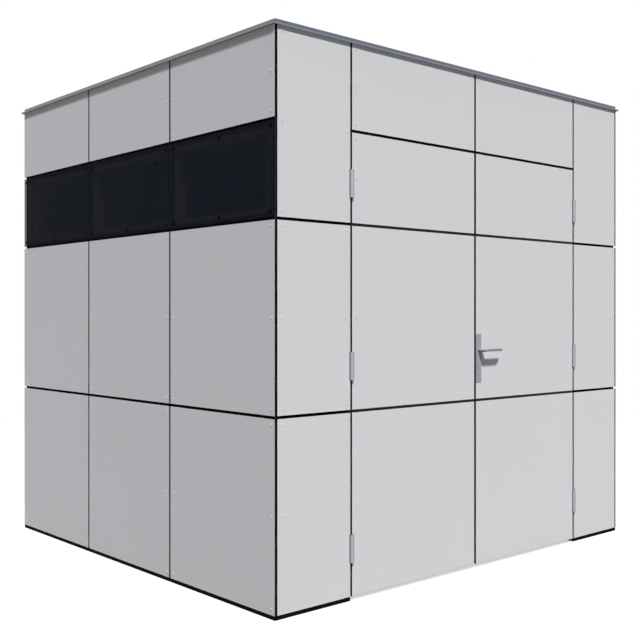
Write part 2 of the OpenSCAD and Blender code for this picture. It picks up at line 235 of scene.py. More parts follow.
cell = node(wood, "TexVoronoi", {"Vector": place, "Scale": knot_scale}).outputs["Distance"]
knots = ramp(wood, cell, knot_rim, knot_core)
finish_group(
    wood,
    end,
    Colour=blend_colours(wood, knots, fibred, given["Knot"]),
    Roughness=ramp(wood, fibres, 0.3, 0.7, start=0.55, end=0.8),
    Height=calculate(wood, "ADD", calculate(wood, "MULTIPLY", bands, -0.4), fibres),
)

# %% [markdown]
# ### Strand board
# The roof deck is a raw board pressed from flat wood strands. Each strand is a cell of a Voronoi
# texture with its own shade. Two layers of cells, stretched in different directions, lie over
# each other, and a noise decides which layer is on top.

# %% The group for strand board
strands, given, end = group(
    "strand board",
    {"Light": ("Color", (0.66, 0.5, 0.3, 1.0)), "Dark": ("Color", (0.4, 0.26, 0.13, 1.0))},
    {"Colour": ("Color", None), "Roughness": ("Float", None), "Height": ("Float", None)},
)
long_cells, patch_scale = (1.0, 3.2, 3.2), 19.0
place = stretched_place(strands)
shades = []
for turn, scale in ((0.5, 26.0), (-0.9, 21.0)):
    laid = {"Vector": place, "Rotation": (0.0, 0.0, turn), "Scale": long_cells}
    turned = node(strands, "Mapping", laid).outputs[0]
    cells = node(strands, "TexVoronoi", {"Vector": turned, "Scale": scale})
    shades.append(node(strands, "SeparateColor", {0: cells.outputs["Color"]}).outputs[0])
patches = noise(strands, place, patch_scale, detail=2.0)
on_top = ramp(strands, patches, low=0.48, high=0.52)
mixed = node(strands, "Mix", {0: on_top, 2: shades[0], 3: shades[1]}).outputs[0]
finish_group(
    strands,
    end,
    Colour=blend_colours(strands, mixed, given["Light"], given["Dark"]),
    Roughness=ramp(strands, mixed, 0.0, 1.0, start=0.6, end=0.85),
    Height=mixed,
)

# %% [markdown]
# ### Brushed metal
# The handle, the hinges and the lock are rubbed with a fine belt, which leaves hair lines along
# each piece. The lines are noise that is stretched a hundredfold along them. They change the
# tone and the height a little, so a highlight breaks up along them. Hands and rain leave wider
# smears, which change how rough the metal is. An anisotropic shader could stretch the highlight
# too, but it wouldn't show single lines.

# %% The group for brushed metal
brushed, given, end = group(
    "brushed metal",
    {
        "Stretch": ("Vector", (1.0, 1.0, 0.01)),
        "Colour": ("Color", (0.6, 0.6, 0.6, 1.0)),
        "Smoothest": ("Float", 0.25),
        "Roughest": ("Float", 0.4),
    },
    {"Colour": ("Color", None), "Roughness": ("Float", None), "Height": ("Float", None)},
)
hair_scale, smear_scale = 1900.0, 55.0
lines = noise(brushed, stretched_place(brushed, given["Stretch"]), hair_scale, rough=0.6)
smears = noise(brushed, stretched_place(brushed), smear_scale)
shade = ramp(brushed, lines, 0.3, 0.7, start=0.9, end=1.04)
toned = node(brushed, "VectorMath", {0: given["Colour"], "Scale": shade}, operation="SCALE")
finish_group(
    brushed,
    end,
    Colour=toned.outputs[0],
    Roughness=ramp(brushed, smears, 0.3, 0.7, given["Smoothest"], given["Roughest"]),
    Height=lines,
)


# %% [markdown]
# ## Materials
# A material takes one of the groups, sets its values, and feeds the group's colour, roughness
# and height to its own shader. What stays the same all over a surface, such as how metallic it
# is, is set straight on the shader. The height goes through a bump node with a true depth in
# metres, so a grain of a few hundredths of a millimetre looks as small as it is.


# %% A helper for materials
def material(name, effect, values, depth, plain=None):
    made = bpy.data.materials.new(name)
    made.use_nodes = True
    tree = made.node_tree
    used = tree.nodes.new("ShaderNodeGroup")
    used.node_tree = effect
    for socket, value in values.items():
        used.inputs[socket].default_value = value
    shader = tree.nodes["Principled BSDF"]
    for socket, value in (plain or {}).items():
        shader.inputs[socket].default_value = value
    tree.links.new(used.outputs["Colour"], shader.inputs["Base Color"])
    tree.links.new(used.outputs["Roughness"], shader.inputs["Roughness"])
    bump = node(tree, "Bump", {"Height": used.outputs["Height"], "Distance": depth})
    tree.links.new(bump.outputs[0], shader.inputs["Normal"])
    made.diffuse_color = values.get("Colour", (0.5, 0.4, 0.3, 1.0))
    print("material:", name)
    return made


# %% [markdown]
# ### Laminate and its core
# The panels are compact laminate: many sheets of black paper pressed with resin, under a light
# grey printed surface with a fine satin grain. The sawn edges show the black core, which is why
# the joints look so dark. The face could be one material with a mask for the edges, but two
# materials on the panel's faces are simpler and hold for any panel.

# %% Laminate
laminate = material(
    "light grey laminate",
    even,
    {
        "Colour": (0.705, 0.7, 0.73, 1.0),
        "Drift": 0.03,
        "Grain": 0.04,
        "Grain scale": 1400.0,
        "Splash": 0.05,
        "Smoothest": 0.5,
        "Roughest": 0.6,
    },
    depth=0.00004,
    plain={"Specular IOR Level": 0.04},
)
core = material(
    "black laminate core",
    even,
    {
        "Colour": (0.008, 0.008, 0.009, 1.0),
        "Drift": 0.3,
        "Grain": 0.5,
        "Splash": 0.05,
        "Smoothest": 0.45,
        "Roughest": 0.6,
    },
    depth=0.00005,
    plain={"Specular IOR Level": 0.01},
)

# %% [markdown]
# ### Black parts
# The tape behind the joints and the door stops are matt rubber, the bars under the walls are
# coated black, the door frames are black metal, and the roofing sheet has weathered in patches.
# One black for all would do from afar, but up close they differ. So the same group serves them
# all, with more grain for the rubber and the bars, more drift for the roofing, a smoother face
# for the door frames, and splashed dust on what reaches down to the ground.

# %% Black parts
tape = material(
    "black tape",
    even,
    {
        "Colour": (0.006, 0.006, 0.007, 1.0),
        "Drift": 0.5,
        "Grain": 0.6,
        "Grain scale": 500.0,
        "Smoothest": 0.75,
        "Roughest": 0.9,
    },
    depth=0.00008,
    plain={"Specular IOR Level": 0.01},
)
base_coat = material(
    "black base coating",
    even,
    {
        "Colour": (0.0045, 0.0045, 0.005, 1.0),
        "Drift": 0.4,
        "Grain": 0.6,
        "Grain scale": 350.0,
        "Splash": 0.012,
        "Smoothest": 0.6,
        "Roughest": 0.8,
    },
    depth=0.0002,
    plain={"Specular IOR Level": 0.01},
)
leaf_coat = material(
    "satin black coating",
    even,
    {
        "Colour": (0.014, 0.014, 0.015, 1.0),
        "Drift": 0.1,
        "Grain": 0.2,
        "Grain scale": 700.0,
        "Splash": 0.1,
        "Smoothest": 0.35,
        "Roughest": 0.45,
    },
    depth=0.00006,
    plain={"Specular IOR Level": 0.2},
)
roofing = material(
    "black roofing sheet",
    even,
    {
        "Colour": (0.045, 0.046, 0.048, 1.0),
        "Drift": 0.8,
        "Grain": 0.5,
        "Grain scale": 260.0,
        "Smoothest": 0.55,
        "Roughest": 0.85,
    },
    depth=0.0004,
    plain={"Specular IOR Level": 0.3},
)

# %% [markdown]
# ### Coated sheet metal
# The coping is folded from coated sheet. Its cool mid grey on the front and right and its warmer
# grey on the left and back are painted reflections, of the sky and of trees, on one coating. The
# hem of the drip lip is painted paler on the front and right as a painted highlight, and the back
# of the sheet is painted dark as painted shade under the lip and inside the fold. The coating could
# be fully metallic, but paint over metal is so only in part: it keeps its own colour and still
# mirrors a bright sky at a low angle.

# %% Coping coats
coat = {"Drift": 0.12, "Grain": 0.06, "Grain scale": 600.0, "Smoothest": 0.3, "Roughest": 0.42}
coat_depth = 0.00006
coats = {}
# The cool and warm coats hold painted reflections, the hem coat a painted highlight, and the sheet back painted
# shade.
for name, colour in {
    "cool grey coating": (0.135, 0.158, 0.206, 1.0),
    "pale hem coating": (0.22, 0.247, 0.28, 1.0),
    "warm grey coating": (0.225, 0.23, 0.2, 1.0),
    "dark sheet back": (0.07, 0.075, 0.072, 1.0),
}.items():
    values = {**coat, "Colour": colour}
    coats[name] = material(name, even, values, depth=coat_depth, plain={"Metallic": 0.35})

# %% [markdown]
# ### Handle, hinges and lock
# All three are brushed aluminium or steel. The hair lines run upright on the plates and hinges,
# along the blade of the lever and outwards along its neck, so these have stretches of their own.
# The upper half of the neck and heel gets a paler metal as a painted highlight where the sun
# falls on it, and the lower half keeps the darker grey of the bar. One metal for all would be
# shorter, but side by side they differ in tone, so each has its own and a small function keeps
# them alike in all else. The screws of the panes are of a blackened metal.

# %% Metals
upright, along_wall, outwards = (1.0, 1.0, 0.01), (0.01, 1.0, 1.0), (1.0, 0.01, 1.0)
every_way = (1.0, 1.0, 1.0)
hair_depth = 0.00002


def metal(name, stretch, colour, smoothest, roughest, plain):
    values = {"Stretch": stretch, "Colour": colour, "Smoothest": smoothest, "Roughest": roughest}
    return material(name, brushed, values, depth=hair_depth, plain=plain)


hinge_metal = metal(
    "brushed hinge metal", upright, (0.367, 0.38, 0.403, 1.0), 0.5, 0.6, {"Metallic": 0.8}
)
plate_metal = metal(
    "brushed plate metal", upright, (0.355, 0.373, 0.43, 1.0), 0.4, 0.5, {"Specular IOR Level": 0.05}
)
lever_metal = metal(
    "brushed lever metal", along_wall, (0.229, 0.241, 0.259, 1.0), 0.4, 0.5, {"Metallic": 0.2}
)
# The paler neck metal is a painted highlight for the sunlit upper half of the neck.
neck_highlight_metal = metal(
    "brushed neck metal with painted highlight", outwards, (0.5, 0.51, 0.54, 1.0), 0.3, 0.4, {"Metallic": 0.3}
)
lock_metal = metal(
    "brushed lock steel", upright, (0.42, 0.42, 0.42, 1.0), 0.3, 0.45, {"Metallic": 1.0}
)
screw_black = metal(
    "black screw metal", every_way, (0.002, 0.002, 0.002, 1.0), 0.45, 0.6, {"Specular IOR Level": 0.0}
)

# %% [markdown]
# ### Timber and board
# The frame is brown planed timber. Posts and studs stand upright, and rails, beams and joists
# lie along one wall or the other. The grain could follow a map of each member's faces, but one
# material for each direction does without maps. The roof deck is left raw.

# %% Timber and board
brown = {"Light": (0.36, 0.235, 0.15, 1.0), "Dark": (0.2, 0.12, 0.075, 1.0)}
timber = {}
for direction, stretch in {
    "upright": (1.0, 1.0, 0.06),
    "crosswise": (0.06, 1.0, 1.0),
    "lengthwise": (1.0, 0.06, 1.0),
}.items():
    timber[direction] = material(
        direction + " timber",
        wood,
        {**brown, "Stretch": stretch},
        depth=0.0003,
        plain={"Specular IOR Level": 0.3},
    )
board = material("strand board", strands, {}, depth=0.0005, plain={"Specular IOR Level": 0.25})

# %% [markdown]
# ### Tinted pane
# The panes are dark tinted acrylic. From the sunny side one sees mostly their own dark tone and,
# faintly, the frame behind them. Real tinted sheet is a clear body with dye in it, which could be
# transmission with a dark colour. A part of alpha over a near black surface looks the same from
# outside, lets some sun into the room and renders without noise.

# %% Pane
pane = material(
    "dark tinted acrylic",
    even,
    {
        "Colour": (0.0175, 0.0215, 0.0315, 1.0),
        "Drift": 0.5,
        "Grain": 0.0,
        "Smoothest": 0.03,
        "Roughest": 0.06,
    },
    depth=0.0,
    plain={"Specular IOR Level": 0.003, "Alpha": 0.62},
)

# %% [markdown]
# ## Tools for modelling
# Operators work on what is selected, as by hand. These helpers select one piece, or some faces
# or edges of it by a test in code, and go in and out of edit mode. A modifier could stay live on
# its piece, but each one is applied at once here, so that the next step works on the real mesh.


# %% Helpers for selecting
def only(piece):
    bpy.ops.object.select_all(action="DESELECT")
    piece.hide_set(False)
    piece.select_set(True)
    bpy.context.view_layer.objects.active = piece


def edit(piece, kind, test=lambda part: True):
    """Enters edit mode with the faces or edges selected that pass the test."""
    only(piece)
    bpy.ops.object.mode_set(mode="EDIT")
    bpy.ops.mesh.select_mode(type=kind)
    bpy.ops.mesh.select_all(action="DESELECT")
    bpy.ops.object.mode_set(mode="OBJECT")
    mesh = piece.data
    for part in mesh.polygons if kind == "FACE" else mesh.edges:
        part.select = bool(test(part))
    bpy.ops.object.mode_set(mode="EDIT")


def leave():
    bpy.ops.object.mode_set(mode="OBJECT")


def apply(piece, kind, **settings):
    """Adds a modifier with these settings and applies it."""
    only(piece)
    made = piece.modifiers.new(kind, kind)
    for name, value in settings.items():
        setattr(made, name, value)
    bpy.ops.object.modifier_apply(modifier=made.name)


# %% [markdown]
# ## Eased edges
# No real edge is perfectly sharp: a saw leaves a small chamfer on a panel and a plane rounds a
# post. A bevel node in the material could fake that, but the mesh itself would stay sharp. The
# solids from the frame have sharp edges and loose triangles, so each one is copied, its corners
# are merged, flat triangles are joined to whole faces, and a bevel eases the edges.


# %% Helpers for merging and easing
flat_angle, smooth_angle, sharp_angle = (math.radians(angle) for angle in (0.5, 35.0, 40.0))


def copied(mesh, name, place=Matrix.Identity(4)):
    """A new piece with its own copy of a mesh, moved by a matrix."""
    piece = bpy.data.objects.new(name, mesh.copy())
    piece.data.transform(place)
    bpy.context.collection.objects.link(piece)
    return piece


def merge(piece, gap):
    """Merges corners that lie within a gap of each other, and joins what is flat."""
    edit(piece, "FACE")
    bpy.ops.mesh.remove_doubles(threshold=gap)
    bpy.ops.mesh.dissolve_limited(angle_limit=flat_angle)
    leave()


def smooth_over(piece):
    """Shades a piece smooth between its sharp edges, and keeps its large faces flat."""
    only(piece)
    bpy.ops.object.shade_smooth_by_angle(angle=smooth_angle)
    apply(piece, "WEIGHTED_NORMAL", keep_sharp=True)


def ease(piece, width, segments=2, smooth=False):
    """Bevels all sharp edges of a piece."""
    apply(
        piece,
        "BEVEL",
        width=width,
        segments=segments,
        limit_method="ANGLE",
        angle_limit=sharp_angle,
        use_clamp_overlap=False,
    )
    if smooth:
        smooth_over(piece)


# %% [markdown]
# ## A piece for each solid
# The eased copy stands for the solid, which stays hidden in its place for collisions. The body
# that the copy moves with could be listed here once more, but it is read from the frame, so a
# leaf's pieces are sure to swing with the leaf.

# %% Dress a solid
body_of = {
    name: body for body, names in frame["record"]["behaviour"]["bodies"].items() for name in names
}
print("bodies:", sorted(set(body_of.values())))


def assign(piece, body, finishes, choose=None):
    """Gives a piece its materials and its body. choose tells which finish a face has."""
    piece.data.materials.clear()
    for finish in finishes:
        piece.data.materials.append(finish)
    for face in piece.data.polygons:
        face.material_index = choose(face) if choose else 0
    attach(piece, body)
    return piece


def eased(name, width, finishes, choose=None, segments=1, smooth=False):
    piece = copied(frame["nodes"][name].data, name + "_eased")
    merge(piece, gap=0.00001)
    ease(piece, width, segments, smooth)
    assign(piece, body_of[name], finishes, choose)
    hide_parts(name)
    print(piece.name, "has", len(piece.data.polygons), "faces")
    return piece


# %% [markdown]
# ## Panels
# A panel has a printed face on both sides, and its edges and chamfers are black. Whether a face
# is printed follows from its normal: on the side walls it looks along X, on the front and the
# back along Y. The faces could be picked by hand, but a rule holds for every panel.

# %% Finish the panels
X, Y, Z = range(3)
aligned, chamfer = 0.99, 0.0008
clad = {}


def printed_along(axis):
    return lambda face: 0 if abs(face.normal[axis]) > aligned else 1


for axis, names in (
    (X, ("left_low_panels", "left_middle_panels", "left_top_panels", "right_panels")),
    (Y, ("back_panels", "front_left_panels", "front_right_panels", "over_door_panels")),
    (Y, ("left_door_panels", "right_door_panels")),
):
    for name in names:
        clad[name] = eased(name, chamfer, [laminate, core], printed_along(axis))
clad["left_window_panes"] = eased("left_window_panes", chamfer, [pane])

# %% [markdown]
# ## Panel screws
# Each panel is held by screws with low round heads in its own colour, three along each upright
# edge, and each pane by six black ones, three along its top and three along its bottom. One head
# is modelled: a short round bar whose outer face is drawn in to a dome, with a small socket in
# the middle. A half sphere would be quicker, but it has no socket and no rim.


# %% Helpers for round bars
def settle(piece, name):
    """Applies a piece's place and turn to its mesh and names it."""
    only(piece)
    bpy.ops.object.transform_apply(location=True, rotation=True, scale=True)
    piece.name = name
    return piece


def rod(radius, start, length, vertices=32, name="rod", upright=False):
    """A round bar that runs from a place along Y, or up from it."""
    bpy.ops.object.select_all(action="DESELECT")
    way = Vector((0.0, 0.0, length / 2)) if upright else Vector((0.0, length / 2, 0.0))
    bpy.ops.mesh.primitive_cylinder_add(
        vertices=vertices,
        radius=radius,
        depth=length,
        location=Vector(start) + way,
        rotation=(0.0 if upright else math.pi / 2, 0.0, 0.0),
    )
    return settle(bpy.context.object, name)


def extrude(way):
    """Extrudes the selected faces by a vector, in edit mode."""
    bpy.ops.mesh.extrude_region_move(TRANSFORM_OT_translate={"value": way})


# %% Model a screw head
def screw_head(radius, rise, sunk=0.0004):
    """A low head at the origin that faces the front."""
    rim, dome, socket_wall, socket_depth = rise / 2, 0.68, radius * 0.3, rise * 0.6
    head = rod(radius, (0.0, -rim, 0.0), rim + sunk, vertices=16)
    edit(head, "FACE", lambda face: face.normal.y < -aligned)
    extrude((0.0, rim - rise, 0.0))
    bpy.ops.transform.resize(value=(dome, 1.0, dome), center_override=(0.0, -rise, 0.0))
    bpy.ops.mesh.inset(thickness=socket_wall)
    extrude((0.0, socket_depth, 0.0))
    leave()
    return head


# %% [markdown]
# ### Copies on a wall
# The heads could be placed by an array modifier on each panel, but the panels differ in size.
# So each panel's corners are measured, and the places of its heads are shares of its width and
# height. The places are worked out as on the front wall and turned to the wall that is meant.
# The copies on one wall or leaf are joined to one piece.


# %% Measure the panels of a piece
def corners_of_solids(piece):
    """The lowest and highest corner of each loose solid in a piece. Each edge gives the corners
    that it joins the same owner, so in the end a solid's corners have one owner."""
    owner = list(range(len(piece.data.vertices)))

    def first_of(index):
        while owner[index] != index:
            owner[index] = owner[owner[index]]
            index = owner[index]
        return index

    for edge in piece.data.edges:
        owner[first_of(edge.vertices[0])] = first_of(edge.vertices[1])
    found = {}
    for vertex in piece.data.vertices:
        found.setdefault(first_of(vertex.index), []).append(vertex.co)
    return [
        (Vector(map(min, *corners)), Vector(map(max, *corners))) for corners in found.values()
    ]


# %% Helpers for copies
def join(pieces, name):
    only(pieces[0])
    for other in pieces[1:]:
        other.select_set(True)
    if len(pieces) > 1:
        bpy.ops.object.join()
    pieces[0].name = name
    return pieces[0]


def repeat(master, places, name):
    """Copies of a master piece at many places, joined to one piece. The master is removed."""
    copies = [copied(master.data, name, place) for place in places]
    bpy.data.objects.remove(master)
    print(name, "repeats its master", len(copies), "times")
    return join(copies, name)


# %% Place the heads on a wall
FRONT, RIGHT, BACK, LEFT = range(4)


def head_places(names, side, inset, raised, columns, rows):
    """Places for heads on all panels of some pieces on one side of the shed. columns and rows
    are shares of the panel's width and height between its outermost heads."""
    wall = Matrix.Rotation(side * math.pi / 2, 4, "Z")
    places = []
    for name in names:
        for low, high in corners_of_solids(clad[name]):
            near, far = wall.inverted() @ low, wall.inverted() @ high
            left, right = sorted((near.x, far.x))
            face = min(near.y, far.y)
            for column in columns:
                for row in rows:
                    across = left + inset + column * (right - left - 2 * inset)
                    up = low.z + raised + row * (high.z - low.z - 2 * raised)
                    places.append(wall @ Matrix.Translation((across, face, up)))
    return places


# %% Fix the panels with screws
screw_grey = material(
    "light grey screw coating",
    even,
    {
        "Colour": (0.68, 0.68, 0.705, 1.0),
        "Drift": 0.02,
        "Grain": 0.05,
        "Grain scale": 2500.0,
        "Smoothest": 0.35,
        "Roughest": 0.45,
    },
    depth=0.00002,
    plain={"Specular IOR Level": 0.35},
)
both_ends, thirds = (0.0, 1.0), (0.0, 0.5, 1.0)
left_wall = ("left_low_panels", "left_middle_panels", "left_top_panels")
front_wall = ("front_left_panels", "front_right_panels", "over_door_panels")
for name, body, side, names in (
    ("left_wall_screws", "shed", LEFT, left_wall),
    ("right_wall_screws", "shed", RIGHT, ("right_panels",)),
    ("back_wall_screws", "shed", BACK, ("back_panels",)),
    ("front_wall_screws", "shed", FRONT, front_wall),
    ("left_leaf_screws", "left_leaf", FRONT, ("left_door_panels",)),
    ("right_leaf_screws", "right_leaf", FRONT, ("right_door_panels",)),
):
    places = head_places(names, side, inset=0.024, raised=0.025, columns=both_ends, rows=thirds)
    heads = repeat(screw_head(radius=0.006, rise=0.0018), places, name)
    assign(heads, body, [screw_grey])
panes = ("left_window_panes",)
places = head_places(panes, LEFT, inset=0.028, raised=0.024, columns=thirds, rows=both_ends)
heads = repeat(screw_head(radius=0.007, rise=0.003), places, "pane_screws")
assign(heads, "shed", [screw_black])

# %% [markdown]
# ## Timber frame
# Posts and rails are planed square with softly rounded edges, so two segments make the bevel.
# The two beams over the front and back walls lie crosswise and the two over the side walls
# lengthwise. They are one solid in the frame, and could be split, but it is enough to tell their
# faces apart by their place.

# %% Finish the timber
planed_edge, widest_beam = 0.002, 0.15
for direction, names in {
    "upright": ("corner_posts", "wall_studs", "door_jambs"),
    "lengthwise": ("left_rails", "right_rails", "roof_joists"),
    "crosswise": ("back_rails", "front_rails", "door_head"),
}.items():
    for name in names:
        eased(name, planed_edge, [timber[direction]], segments=2)
eased(
    "roof_beams",
    planed_edge,
    [timber["crosswise"], timber["lengthwise"]],
    lambda face: 0 if abs(face.center[Y]) > half_wall - widest_beam else 1,
    segments=2,
)

# %% [markdown]
# ## Door frames, base bars and coping
# The frames of the leaves are coated metal tube with tight corners, and the base bars are square.
# The coping is folded sheet, and a fold has a radius about as large as the sheet is thick. Its
# outermost faces are the hem of the drip lip, which gets a painted highlight on the front and
# right. The back of the sheet is what looks down, and what looks at the other leg of the fold, and
# its dark coat is painted shade. A mask could be painted, but a face's place and normal tell.

# %% Finish frames and bars
tube_edge, fold_radius = 0.0015, 0.0008
for name in ("left_door_stiles", "left_door_rails", "right_door_stiles", "right_door_rails"):
    eased(name, tube_edge, [leaf_coat], segments=2)
eased("base_bars", tube_edge, [base_coat])

# %% Finish the coping
hem_reach, hem_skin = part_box("coping_right")[1].x, 0.0003
coping_middle, level = 0.04, 0.5


def side_of_sheet(face):
    """0 on the coping's face, 1 on its hem, which may get a painted highlight, 2 on the sheet's back, which gets
    painted shade.
    """
    at, normal = face.center, face.normal
    distance = max(abs(at.x), abs(at.y))
    looks_in = at.xy.dot(normal.xy) < 0.0
    over_wall = distance > half_wall - coping_middle
    if normal.z < -level or abs(normal.z) < level and looks_in == over_wall:
        return 2
    return 1 if distance > hem_reach - hem_skin else 0


# Front and right get the painted sky reflection and the painted highlight on the hem, back and left the painted
# tree reflection, and every back of the sheet the painted shade.
cool, warm, pale = "cool grey coating", "warm grey coating", "pale hem coating"
for name, face_coat, hem_coat in (
    ("coping_front", cool, pale),
    ("coping_right", cool, pale),
    ("coping_back", warm, warm),
    ("coping_left", warm, warm),
):
    # The back of the sheet gets a dark coat that is painted shade under the lip and inside the fold.
    finishes = [coats[face_coat], coats[hem_coat], coats["dark sheet back"]]
    eased(name, fold_radius, finishes, side_of_sheet, segments=2)
eased("roof_outlet", fold_radius, [coats[cool]], segments=2)

# %% [markdown]
# ## Hinges
# Each door hangs on three lift-off hinges. The barrel has three knuckles on one pin, and its ends
# are slightly rounded. The solids have these knuckles already, so they need no new piece: their
# edges are eased with two segments, and the barrel is shaded smooth.

# %% Finish the hinges
barrel_edge = 0.0006
for name in ("left_hinge_pins", "right_hinge_pins", "left_hinge_knuckles", "right_hinge_knuckles"):
    eased(name, barrel_edge, [hinge_metal], segments=2, smooth=True)

# %% [markdown]
# ## Lever handles
# The lever is a flat bar on a neck. Its outer face sweeps in to the tip, so that nothing catches
# on it, and its heel is half round. The bar is made as it would be sawn: a straight block, and a
# second block for the tip that is trimmed with a wide upright disc. It could be drawn as a curve
# with a profile, but blocks and bars show better how the real one is made.


# %% Helpers for cutting and rounding
def block(low, high, name="block"):
    """A box between two corners, to start a piece from."""
    bpy.ops.object.select_all(action="DESELECT")
    low, high = Vector(low), Vector(high)
    bpy.ops.mesh.primitive_cube_add(size=1.0, location=(low + high) / 2, scale=high - low)
    return settle(bpy.context.object, name)


def combine(piece, other, operation):
    """Joins another solid to a piece or cuts it out, and removes that solid."""
    apply(piece, "BOOLEAN", object=other, operation=operation, solver="EXACT")
    bpy.data.objects.remove(other)


def edges_along(piece, axis, test=lambda at: True):
    """A test for the edges that run along an axis and whose middle passes another test."""

    def passes(edge):
        first, second = (piece.data.vertices[i].co for i in edge.vertices)
        way = (second - first).normalized()
        return abs(way[axis]) > aligned and test((first + second) / 2)

    return passes


def round_edges(piece, test, radius, steps):
    edit(piece, "EDGE", test)
    bpy.ops.mesh.bevel(offset=radius, segments=steps, affect="EDGES")
    leave()


# %% Model the bar of the lever
spindle = Vector(next(j["pos_m"] for j in frame["joints"] if j["name"] == "lever_turn"))
lever_low, lever_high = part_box("lever_outside")
bar_height, bar_depth, sweep = 0.0115, 0.022, 0.060
touch, spare, cutter_length, almost_half = 0.001, 0.01, 0.03, 0.48
bar_low, bar_high = spindle.z - bar_height / 2, spindle.z + bar_height / 2
inner_face = lever_low.y + bar_depth
bend = lever_high.x - math.sqrt(sweep**2 - (sweep - bar_depth) ** 2)
bar_start, bar_end = (lever_low.x, lever_low.y, bar_low), (bend, inner_face, bar_high)
bar = block(bar_start, bar_end, "lever_outside_made")
tip = block((bend - touch, lever_low.y, bar_low), (lever_high.x, inner_face, bar_high))
disc_foot = (bend, lever_low.y + sweep, bar_low - spare)
disc = rod(sweep, disc_foot, cutter_length, vertices=144, upright=True)
combine(tip, disc, "INTERSECT")
combine(bar, tip, "UNION")
merge(bar, gap=0.0008)
heel = edges_along(bar, Y, lambda at: at.x < lever_low.x + touch)
round_edges(bar, heel, bar_height * almost_half, steps=6)
ease(bar, width=0.0016, segments=3)
print("the lever is", round(lever_high.x - spindle.x, 3), "m long from its spindle")

# %% [markdown]
# ### The neck
# The neck is a flat oval that thins to the height of the bar, and a round bearing runs from it
# into the plate. The oval starts as a block whose edges are bevelled until they meet, and its end
# is extruded twice, once to thin it and once to run it into the bar. Neck, bearing and bar could
# stay three pieces, but a real lever is cast in one, so they are joined to one solid.

# %% Model the neck
neck_radius, neck_width, neck_gap, taper, nearly_round = 0.009, 0.033, 0.002, 0.006, 0.99
height_left, width_left = 0.94 * bar_height / (2 * neck_radius), 0.97
bearing_radius, bearing_overlap, slim, round_steps = 0.006, 0.002, 0.999, 40
root_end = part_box("handle_plates")[0].y - neck_gap
neck = block(
    (lever_low.x, inner_face + taper, spindle.z - neck_radius),
    (lever_low.x + neck_width, root_end, spindle.z + neck_radius),
)
round_edges(neck, edges_along(neck, Y), neck_radius * nearly_round, steps=10)
edit(neck, "FACE", lambda face: face.normal.y < -aligned)
extrude((0.0, -taper, 0.0))
middle = (lever_low.x + neck_width / 2, inner_face, spindle.z)
bpy.ops.transform.resize(value=(width_left, 1.0, height_left), center_override=middle)
extrude((0.0, -bar_depth / 2, 0.0))
leave()
ease(neck, width=0.0006)
combine(bar, neck, "UNION")
bearing_start = (spindle.x, root_end - bearing_overlap, spindle.z)
bearing_length = lever_high.y - bearing_start[Y]
bearing = rod(bearing_radius * slim, bearing_start, bearing_length, round_steps)
combine(bar, bearing, "UNION")
print("the lever has", len(bar.data.polygons), "faces")

# %% [markdown]
# ### The lever inside
# The lever inside the shed is the mirror image of the outer one, with a square spindle through
# the door. A mirror modifier could make it, but the two levers hide one solid each, so it is a
# copy. A mirrored mesh is inside out, so its normals are worked out again.

# %% Mirror the lever to the inside
inner_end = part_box("lever_inside")[1].y
through = (lever_low.y + inner_end) / 2
mirrored = Matrix.Translation((0.0, 2 * through, 0.0)) @ Matrix.Scale(-1.0, 4, (0.0, 1.0, 0.0))
inner = copied(bar.data, "lever_inside_made", mirrored)
edit(inner, "FACE")
bpy.ops.mesh.normals_make_consistent(inside=False)
leave()
half_square, past_middle = 0.004, 0.03
square = block(
    (spindle.x - half_square, lever_high.y, spindle.z - half_square),
    (spindle.x + half_square, through + past_middle, spindle.z + half_square),
)
ease(square, width=0.0006, segments=1)
combine(inner, square, "UNION")
print("over both levers the handle is", round(inner_end - lever_low.y, 3), "m deep")

# %% Finish both levers
bar_skin, heel_share, upward = 0.0005, 0.3, 0.05
neck_reach = through - inner_face - bar_skin
heel_end = lever_low.x + bar_height * heel_share


def painted_highlight_faces(face):
    """Tells the upper half of the neck and heel, which gets a painted highlight, from the bar and the lower half.
    """
    on_neck = abs(face.center[Y] - through) < neck_reach or face.center[X] < heel_end
    return 1 if on_neck and face.normal[Z] > upward else 0


for piece, name in ((bar, "lever_outside"), (inner, "lever_inside")):
    smooth_over(piece)
    assign(piece, "lever", [lever_metal, neck_highlight_metal], painted_highlight_faces)
    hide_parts(name)

# %% [markdown]
# ## Handle plates
# The plates are thin and flat, and their edges are eased. A ring guides each bearing where it
# leaves the plate. It could be a torus, but a turned ring has flat sides and a crisp bore.

# %% Finish the plates
eased("handle_plates", 0.0008, [plate_metal], segments=2, smooth=True)
plate_low, plate_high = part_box("handle_plates")
ring_rise, ring_wall, ring_sunk, ring_play = 0.0015, 0.003, 0.0003, 0.0003


def guide_ring(face, way):
    """A ring round the bearing that stands out from a plate's face."""
    start = min(face, face + way * ring_rise)
    ring_start, hole_start = ((spindle.x, y, spindle.z) for y in (start, start - spare))
    ring = rod(bearing_radius + ring_wall, ring_start, ring_rise, round_steps)
    hole = rod(bearing_radius + ring_play, hole_start, cutter_length, round_steps)
    combine(ring, hole, "DIFFERENCE")
    ease(ring, width=0.0005, smooth=True)
    return ring


rings = [guide_ring(plate_low.y + ring_sunk, -1.0), guide_ring(plate_high.y - ring_sunk, 1.0)]
assign(join(rings, "neck_rings"), "right_leaf", [lever_metal])
print("rings:", len(rings), "joined to", rings[0].name)

# %% [markdown]
# ### Lock cylinder
# The key goes into a profile cylinder: a round barrel with a narrower leg under it and an upright
# slot. Its outline could be drawn and extruded, but a bar, a block with a rounded foot and a thin
# block for the slot are easier to measure on a real one. Inside the shed two screws hold the plate.

